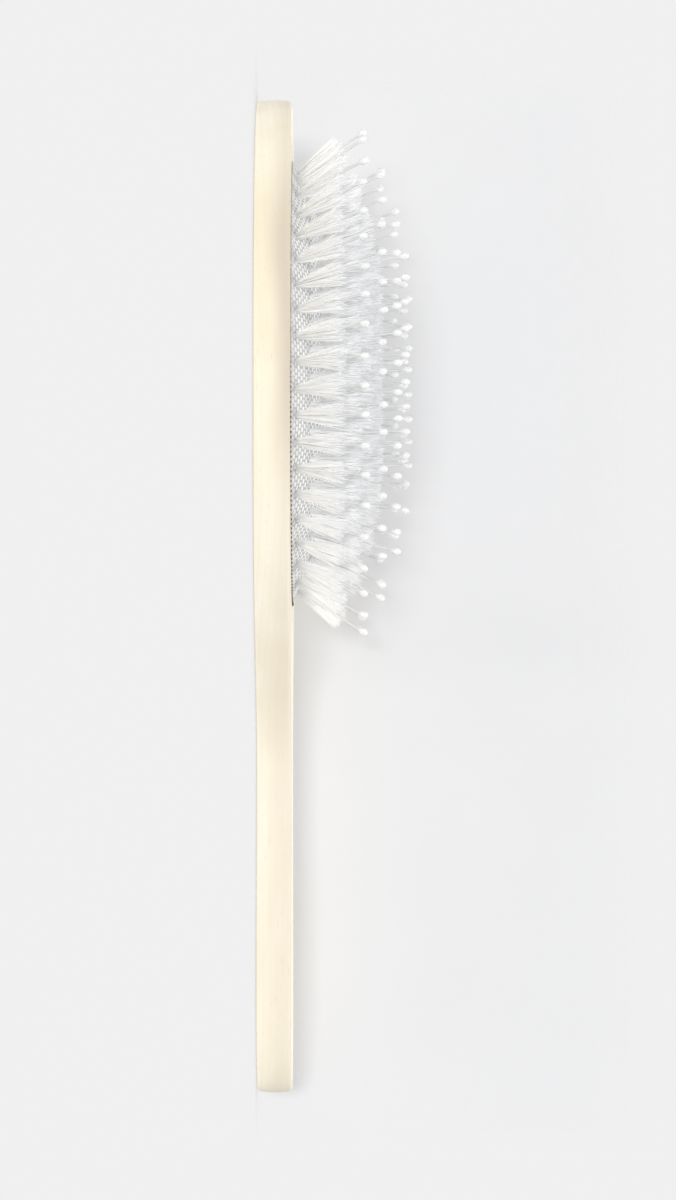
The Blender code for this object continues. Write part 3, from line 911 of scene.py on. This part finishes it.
@dataclass(frozen=True)
class Cushion:
    """The domed cushion: cloth on a rubber diaphragm with a bead round its edge, and the stitches of the
    cloth's turned edge. The cloth is drawn in where each tuft passes through it."""

    plan: BrushPlan
    rows: tuple[TuftRow, ...]
    cloth_thickness: float = 0.0008
    edge_depth: float = 0.0008
    edge_reach: float = 0.00027
    dimple_depth: float = 0.00020
    dimple_radius: float = 0.0015
    swell_height: float = 0.00015
    swell_fade: int = 12
    rubber_gap: float = 0.0010
    rubber_thickness: float = 0.0012
    bead_clearance: float = 0.0003
    bead_reach: float = 0.0009
    bead_height: float = 0.0012
    bead_wall: float = 0.0018
    stitch_pitch: float = 0.00116
    stitch_half_length: float = 0.00029
    stitch_half_width: float = 0.00021
    stitch_half_height: float = 0.00027
    stitch_lift: float = 0.00009
    stitch_outset: float = 0.00020
    stitch_end: float = 0.92
    stitch_look_ahead: float = 0.001
    stitch_twist: float = 1.5
    around: int = 520
    cloth_steps: int = 76
    roll_steps: int = 4
    underside: tuple[float, ...] = (0.97, 0.8, 0.5, 0.2, 0.0)
    rubber_steps: int = 15
    stitch_rings: int = 6
    stitch_sides: int = 6

    def ring(self, share: float, drop: float, columns: int) -> np.ndarray:
        """A level line of the dome, lowered by the drop."""
        return self.plan.dome_point(np.full(columns, share), full_turn(columns)) - (0, 0, drop)

    def nearness(self, points: np.ndarray) -> np.ndarray:
        """How near points are to the roots: the sum of exp(-(d / r) ** 2) over the tufts, from above.

        Args:
            points: Points in the last axis.

        Returns:
            A number for each point, 1 at a root.
        """
        near = np.zeros(points.shape[:-1])
        for row in self.rows:
            for root in row.roots(self.plan):
                near += np.exp(-np.sum((points[..., :2] - root[:2]) ** 2, axis=-1) / self.dimple_radius**2)
        return near

    def cloth_skin(self) -> Skin:
        """The cloth's face from the ridge to the rim, its turned edge, and its underside back to the ridge.
        Each tuft draws the face in by a Gaussian dimple, and the cloth swells a little between the rows.

        Returns:
            The closed skin, whose ridge is doubled.
        """
        shares = np.linspace(0, 1, self.cloth_steps)
        face = np.stack([self.ring(share, 0.0, self.around) for share in shares])
        near = self.nearness(face)
        fade = 1 - shares[:, None] ** self.swell_fade
        face[..., 2] += (self.swell_height * (1 - np.minimum(near, 1)) - self.dimple_depth * near) * fade
        turn = full_turn(self.around)
        roll = np.linspace(0, math.pi / 2, self.roll_steps)[1:]
        out = np.append(np.sin(roll), 1.0) * self.edge_reach
        drop = np.append(1 - np.cos(roll), 1.0 + self.edge_depth / self.edge_reach) * self.edge_reach
        height = self.plan.thickness - drop
        edge = np.stack([lifted(self.plan.rim_oval(o, turn), z) for o, z in zip(out, height)])
        below = np.stack([self.ring(share, self.cloth_thickness, self.around) for share in self.underside])
        below[0, :, 2] = self.plan.thickness - self.edge_depth
        rim = np.concatenate([shares, np.ones(len(edge)), np.zeros(len(below))])
        return Skin.from_grids(np.concatenate([face, edge, below]), caps=False).carry(rim=rim[:, None])

    def rubber_skin(self) -> Skin:
        """The diaphragm's outside from the ridge down to its bead, and its inside back up.

        Returns:
            The closed skin, whose ridges are doubled.
        """
        columns = self.around // 3
        shares = np.linspace(0, 1, self.rubber_steps)
        outer = np.stack([self.ring(share, self.rubber_gap, columns) for share in shares])
        bead_xy = self.plan.rim_oval(self.bead_reach, full_turn(columns))
        top = self.plan.thickness - self.rubber_gap - self.bead_clearance
        bead = [lifted(bead_xy, top - fall) for fall in (0.0, self.bead_height)]
        inner_share = 1 - self.bead_wall / self.plan.half_width
        foot = self.ring(inner_share, 0.0, columns)
        foot[:, 2] = top - self.bead_height
        drop = self.rubber_gap + self.rubber_thickness
        inner = np.stack([self.ring(share, drop, columns) for share in shares[::-1] * inner_share])
        return Skin.from_grids(np.concatenate([outer, [*bead, foot], inner]), caps=False)

    def stitch_skin(self) -> Skin:
        """Stitches at equal steps round the rim, each an ellipsoid of rings with its long axis along the rim.

        Returns:
            One skin with all stitches.
        """
        turn = np.linspace(0, math.tau, OVAL_SAMPLES)
        lengths = lengths_along(self.plan.rim_oval(self.stitch_outset, turn))
        count = round(lengths[-1] / self.stitch_pitch)
        angle = np.interp((np.arange(count) + 0.5) / count * lengths[-1], lengths, turn)
        height = self.plan.thickness + self.stitch_lift
        centre, ahead = (
            lifted(self.plan.rim_oval(self.stitch_outset, angle + turned), height)
            for turned in (0.0, self.stitch_look_ahead)
        )
        along = unit(ahead - centre)
        out = np.cross(along, UP)
        slant = np.linspace(-self.stitch_end, self.stitch_end, self.stitch_rings)
        width = np.sqrt(1 - slant**2)[:, None]
        around = full_turn(self.stitch_sides)
        skin = Skin.from_grids(
            centre[:, None, None]
            + along[:, None, None] * (self.stitch_half_length * slant)[None, :, None, None]
            + out[:, None, None] * (self.stitch_half_width * width * np.cos(around))[None, ..., None]
            + UP * (self.stitch_half_height * width * np.sin(around))[None, ..., None]
        )
        return skin.carry(twist=slant[:, None] * self.stitch_twist + around / math.tau)

    def build(self) -> None:
        """Make the rubber, the cloth and the stitches, and give the cloth and the rubber meshes of their own.
        """
        rubber = merge_doubles(self.rubber_skin().piece("rubber_diaphragm", GreyRubber().material()))
        cloth = merge_doubles(self.cloth_skin().piece("cloth_facing", WovenCloth().material()))
        stitches = self.stitch_skin().piece("edge_stitches", DarkThread().material())
        seat(rubber, Body.ROOT, ("rubber_cushion",))
        seat(cloth, Body.ROOT, ("facing_rim",))
        seat(stitches, Body.ROOT)
        for piece in (rubber, cloth):
            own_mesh(piece)


@dataclass(frozen=True)
class Bristles:
    """The tufts of fine filaments and the ball-tipped pin in the middle of each tuft."""

    plan: BrushPlan
    splay: float = 1.25
    lean_to_head: float = 0.02
    filament_length: float = 0.0126
    length_spread: float = 0.00035
    edge_shortening: float = 0.0006
    filament_radius: float = 0.000082
    tip_radius: float = 0.000072
    root_spread: float = 0.00070
    tip_spread: float = 0.00298
    radius_unevenness: float = 0.05
    turn_unevenness: float = 0.12
    spread_unevenness: float = 0.10
    stray_share: float = 0.07
    stray_range: Span = (0.3, 1.0)
    stray_spread: float = 0.0006
    bend: float = 0.00022
    root_depth: float = 0.00035
    pin_length: float = 0.0197
    pin_steps: Span = (0.33, 0.66)
    pin_radius: float = 0.00033
    pin_tip_radius: float = 0.00028
    ball_radius: float = 0.00091
    ball_half_length: float = 0.00114
    ball_end_angle: float = math.pi - 0.25
    pin_bend: float = 0.00035
    pin_seed_step: int = 100
    filament_rings: int = 4
    filament_sides: int = 3
    pin_sides: int = 8
    ball_rings: int = 6
    # Painted shade: the filaments are a little greyer at the root, for the shade inside the tufts.
    filament_finish: Nylon = Nylon(
        "nylon_filament", (0.981, 0.983, 0.986), (0.988, 0.990, 0.994), roughness=(0.37, 0.47),
        through_share=0.18,
    )
    # Painted shade: the pin's shaft is greyer than its ball, for the shaded sides of the shafts.
    pin_finish: Nylon = Nylon(
        "nylon_pin", (0.895, 0.898, 0.898), (0.985, 0.986, 0.986), roughness=(0.11, 0.21),
        through_share=0.15, paler=(0.84, 0.91), clear_share=0.25,
    )

    def axes(self, row: TuftRow) -> tuple[np.ndarray, np.ndarray, np.ndarray, np.ndarray]:
        """How each tuft of a row stands: its way up is the dome's normal, spread out along the brush.

        Args:
            row: The row.

        Returns:
            The dome's normals, the tufts' directions, and two vectors square to each direction.
        """
        normal = self.plan.dome_normal(np.full(row.tufts, row.at_share), row.angles(self.plan))
        direction = unit(normal * (self.splay, 1, 1) - (self.lean_to_head, 0, 0))
        side = unit(np.cross(direction, (0, 1, 0)))
        return normal, direction, side, np.cross(direction, side)

    @staticmethod
    def sway(
        random: np.random.Generator,
        deviation: float,
        shape: tuple[int, ...],
        side: np.ndarray,
        other: np.ndarray,
    ) -> np.ndarray:
        """Random vectors square to the tufts' directions, normally spread along both sides."""
        first, second = (random.normal(0, deviation, shape)[..., None] for _ in range(2))
        return side * first + other * second

    def filament_skin(self, row: TuftRow) -> Skin:
        """Filament f of a tuft stands at a sunflower place, radius sqrt((f + 1/2) / n), and its line is
        root + direction * length * s + spread * s + bend * sin(pi s), with s from 0 to 1.

        Args:
            row: The row.

        Returns:
            One skin with all filaments of the row.
        """
        random = np.random.default_rng(row.seed)
        shape = (row.tufts, row.filaments)
        normal, direction, side, other = (axis[:, None] for axis in self.axes(row))
        place = np.arange(row.filaments)
        uneven = 1 + random.normal(0, self.radius_unevenness, shape)
        radius = np.sqrt((place + 0.5) / row.filaments) * uneven
        start = random.uniform(0, math.tau, (row.tufts, 1))
        turn = place * GOLDEN_ANGLE + start + random.normal(0, self.turn_unevenness, shape)
        out = spun(side, other, turn)
        foot = out * (radius * self.root_spread)[..., None]
        sunk = -np.sum(normal * foot, axis=-1) / np.sum(normal * direction, axis=-1) - self.root_depth
        foot = foot + direction * sunk[..., None]
        astray = random.random(shape) < self.stray_share
        stray = astray * random.uniform(*self.stray_range, shape) * self.stray_spread
        spread = radius * self.tip_spread * (1 + random.normal(0, self.spread_unevenness, shape)) + stray
        length = self.filament_length + random.normal(0, self.length_spread, shape)
        length = length - self.edge_shortening * radius**2
        tip = direction * length[..., None] + out * spread[..., None]
        bow = self.sway(random, self.bend, shape, side, other)
        step = np.linspace(0, 1, self.filament_rings)[:, None]
        line = row.roots(self.plan)[:, None, None] + foot[:, :, None] * (1 - step) + tip[:, :, None] * step
        line = line + bow[:, :, None] * np.sin(math.pi * step)
        roll = random.uniform(0, math.tau, shape)[..., None] + full_turn(self.filament_sides)
        square = spun(side[:, :, None], other[:, :, None], roll)
        thick = np.linspace(self.filament_radius, self.tip_radius, self.filament_rings)
        tubes = line[:, :, :, None] + square[:, :, None] * thick[:, None, None]
        lot = random.random(row.tufts * row.filaments)[:, None, None]
        return Skin.from_grids(tubes).carry(along=step, lot=lot)

    def pin_profile(self) -> tuple[np.ndarray, np.ndarray]:
        """A shaft that tapers a little, and an egg-shaped ball: half length * cos a and radius * sin a.

        Returns:
            Distances from the root, and radii there.
        """
        neck = self.pin_length - 2 * self.ball_half_length
        shaft = np.array([-self.root_depth, *(neck * step for step in self.pin_steps), neck])
        slim = np.linspace(self.pin_radius, self.pin_tip_radius, len(shaft))
        start = math.asin(self.pin_tip_radius / self.ball_radius)
        turn = np.linspace(start, self.ball_end_angle, self.ball_rings + 1)[1:]
        ball = self.pin_length - self.ball_half_length - self.ball_half_length * np.cos(turn)
        return np.concatenate([shaft, ball]), np.concatenate([slim, self.ball_radius * np.sin(turn)])

    def pin_skin(self, row: TuftRow) -> Skin:
        """Carry the pin's profile along each tuft's direction, bent by a parabola.

        Args:
            row: The row.

        Returns:
            One skin with all pins of the row.
        """
        random = np.random.default_rng(row.seed + self.pin_seed_step)
        _, direction, side, other = self.axes(row)
        distance, radius = self.pin_profile()
        share = np.clip(distance / self.pin_length, 0, 1)[None, :, None]
        bend = self.sway(random, self.pin_bend, (row.tufts,), side, other)
        line = row.roots(self.plan)[:, None] + direction[:, None] * distance[None, :, None]
        line = line + bend[:, None] * share**2
        square = spun(side[:, None], other[:, None], full_turn(self.pin_sides))
        skin = Skin.from_grids(line[:, :, None] + square[:, None] * radius[None, :, None, None])
        return skin.carry(along=share, lot=random.random(row.tufts)[:, None, None])

    def build(self, rows: tuple[TuftRow, ...]) -> None:
        """Make each row's filaments and pins and seat them on the row's body in place of its solids.

        Args:
            rows: The rows of tufts.
        """
        filament, pin = self.filament_finish.material(), self.pin_finish.material()
        for row in rows:
            tufts = self.filament_skin(row).piece(f"{row.body.value}_filaments", filament, smooth=False)
            pins = self.pin_skin(row).piece(f"{row.body.value}_pins", pin)
            seat(tufts, row.body, row.nodes)
            seat(pins, row.body)


@dataclass(frozen=True)
class Lamp:
    """A square soft light that faces the brush: the way to it, how far away it hangs, its width, and how
    bright it makes a white surface that faces it."""

    name: str
    towards: Triple
    distance: float
    size: float
    level: float

    def hang(self) -> None:
        """Make the light. An area light of P watts at a distance d lights a white surface to
        P / (pi * pi * d * d), so P follows from the level."""
        lamp = bpy.data.lights.new(self.name, "AREA")
        lamp.shape = "SQUARE"
        lamp.size = self.size
        lamp.energy = self.level * math.pi**2 * self.distance**2
        obj = placed(self.name, lamp)
        direction = Vector(self.towards).normalized()
        obj.location = direction * self.distance
        obj.rotation_mode = "QUATERNION"
        obj.rotation_quaternion = direction.to_track_quat("Z", "Y")


@dataclass(frozen=True)
class Studio:
    """The plain pale stage: the surface that the brush lies against on its side, a floor under its flat back,
    soft lights, and the camera of the photograph."""

    plan: BrushPlan
    board: WoodenBoard
    background: float = 0.871
    ambient: float = 0.65
    glow: float = 0.805
    sheet_gap: float = 0.0003
    sheet_lean: float = 0.024
    sheet_bend: int = 12
    sheet_steps: tuple[int, int] = (281, 109)
    tail_reach: float = 0.0145
    sheet_past_end: float = 0.0040
    sheet_end_fade: float = 0.0160
    sheet_top: float = 0.0750
    sheet_top_fade: float = 0.0300
    sheet_foot: float = 0.0020
    sheet_foot_fade: float = 0.0050
    floor_drop: float = 0.0002
    floor_reach: float = 0.0160
    floor_under: float = 0.25
    floor_steps: int = 16
    camera_x: float = 0.0007
    camera_z: float = 0.0194
    camera_distance: float = 0.650
    pixel_size: float = 0.0002429
    image_height: int = 1200
    sensor: float = 36.0
    light_bounces: int = 64
    lamps: tuple[Lamp, ...] = (
        Lamp("key", (-0.14, -1.00, -0.13), 3.0, 0.6, 0.455),
        Lamp("fill", (0.05, -0.10, 1.00), 2.5, 1.6, 0.39),
        Lamp("back", (0.10, 1.00, 0.25), 2.5, 1.6, 0.35),
        Lamp("under", (0.00, -0.10, -1.00), 2.5, 1.6, 0.25),
    )

    def make_world(self) -> None:
        """A plain background for the camera, for gloss and for what is seen through nylon, and a soft even
        light for the rest."""
        world = bpy.data.worlds.new("studio")
        bpy.context.scene.world = world
        graph = ShaderGraph(world)
        light = graph.add("Background", {"Color": WHITE, "Strength": self.ambient})
        seen = graph.add("Background", {"Color": WHITE, "Strength": self.background})
        graph.finish(graph.mix(graph.looked_at(), light, seen))

    def make_sheet(self) -> None:
        """The pale sheet that the brush lies on, on its side. From the head's widest place to the tail it
        follows the board just clear of it, never turns back out, and leans away a little, so that its front
        is hidden from the tail. Its bends are softened by a Hann window. It fades out past the ends of the
        brush, above the bristles and at the floor."""
        half = self.board.half_outline()
        first = half[:, 1].argmax()
        last = len(half) - np.argmax(half[::-1, 1] > self.tail_reach)
        end = self.plan.tail_x + self.sheet_past_end
        columns, rows = self.sheet_steps
        x = np.linspace(-end - self.sheet_end_fade, end + self.sheet_end_fade, columns)
        falling = np.maximum.accumulate(half[::-1, 1])[::-1]
        lean = self.sheet_lean * x
        y = np.interp(x, half[first:last, 0], falling[first:last]) + self.sheet_gap + lean
        y = np.maximum.accumulate(y[::-1])[::-1] - lean
        weights = np.hanning(2 * self.sheet_bend + 1)
        y = np.convolve(np.pad(y, self.sheet_bend, mode="edge"), weights / weights.sum(), mode="valid")
        z = np.linspace(self.sheet_foot - self.sheet_foot_fade, self.sheet_top + self.sheet_top_fade, rows)
        x, y, z = np.broadcast_arrays(x, y, z[:, None])
        away = np.maximum.reduce([
            (np.abs(x) - end) / self.sheet_end_fade,
            (z - self.sheet_top) / self.sheet_top_fade,
            (self.sheet_foot - z) / self.sheet_foot_fade,
        ])
        skin = Skin.from_grids(np.stack([x, y, z], axis=-1), ring=False, caps=False).carry(away=away)
        sheet = skin.piece("sheet", StudioSurface("pale_sheet", self.glow, faces=(0, -1, 0)).material())
        sheet.visible_shadow = False

    def make_floor(self) -> None:
        """A floor under the flat back that keeps its contact shadow. It follows the board's outline and fades
        out round it. It bounces no light back, so the back keeps its own colour."""
        points, inward = self.board.outline()
        reach = np.linspace(-self.floor_under, 1, self.floor_steps)[:, None]
        xy = points[None] - (reach * self.floor_reach)[..., None] * inward[None]
        skin = Skin.from_grids(lifted(xy, -self.floor_drop), caps=False).carry(away=reach)
        skin.corners = np.concatenate([skin.corners, np.arange(len(points))[::-1]])
        skin.sizes = np.append(skin.sizes, len(points))
        floor = skin.piece("floor", StudioSurface("pale_floor", self.glow, faces=(0, 0, 1)).material())
        floor.visible_shadow = False
        floor.visible_diffuse = False

    def add_camera(self) -> None:
        """The camera looks along +Y with the head of the brush up and the bristles to the right. Its lens
        fits the pixel size at the brush: focal length = sensor * distance / (image height * pixel size)."""
        camera = bpy.data.cameras.new("camera")
        camera.sensor_width = self.sensor
        camera.lens = self.sensor * self.camera_distance / (self.image_height * self.pixel_size)
        camera.clip_start = 0.01
        camera.clip_end = 20.0
        obj = placed("camera", camera)
        obj.matrix_world = Matrix((
            (0, -1, 0, self.camera_x),
            (0, 0, -1, -self.camera_distance),
            (1, 0, 0, self.camera_z),
            (0, 0, 0, 1),
        ))
        bpy.context.scene.camera = obj

    def build(self) -> None:
        """Set the stage, the lights and the camera."""
        self.make_world()
        self.make_sheet()
        self.make_floor()
        for lamp in self.lamps:
            lamp.hang()
        self.add_camera()
        scene = bpy.context.scene
        scene.view_settings.view_transform = "Standard"
        scene.cycles.max_bounces = self.light_bounces
        scene.cycles.diffuse_bounces = self.light_bounces
        scene.cycles.transmission_bounces = self.light_bounces


def make_rows(plan: BrushPlan, edge_to_outer: float = 0.0024) -> tuple[TuftRow, ...]:
    """List the rows of tufts, from the rim to the ridge.

    Args:
        plan: The brush's shared sizes.
        edge_to_outer: Distance of the outer row from the cushion's edge, across the brush.

    Returns:
        The rows.
    """
    def nodes(name: str, slices: int) -> tuple[str, ...]:
        """Names of a row's CAD nodes."""
        return tuple(f"{name}_{number:02d}" for number in range(1, slices + 1))

    outer_share = 1 - edge_to_outer / plan.half_width
    return (
        TuftRow(Body.OUTER, nodes("outer_tufts", 10), outer_share, 0.5, 40, 90, seed=11),
        TuftRow(Body.SECOND, nodes("second_tufts", 8), 0.700, 0.0, 32, 80, seed=12),
        TuftRow(Body.THIRD, nodes("third_tufts", 6), 0.465, 0.0, 26, 72, seed=13),
        TuftRow(Body.FOURTH, nodes("fourth_tufts", 4), 0.232, 0.0, 20, 72, seed=14),
        TuftRow(Body.CENTRE, ("centre_tufts",), 0.0, 0.0, 8, 72, seed=15),
    )


def main() -> None:
    """Build the brush and its stage."""
    logging.basicConfig(level=logging.INFO, format="%(message)s")
    plan = BrushPlan.from_frame()
    rows = make_rows(plan)
    board = WoodenBoard(plan)
    board.build()
    Cushion(plan, rows).build()
    Bristles(plan).build(rows)
    Studio(plan, board).build()


if __name__ == "__main__":
    main()
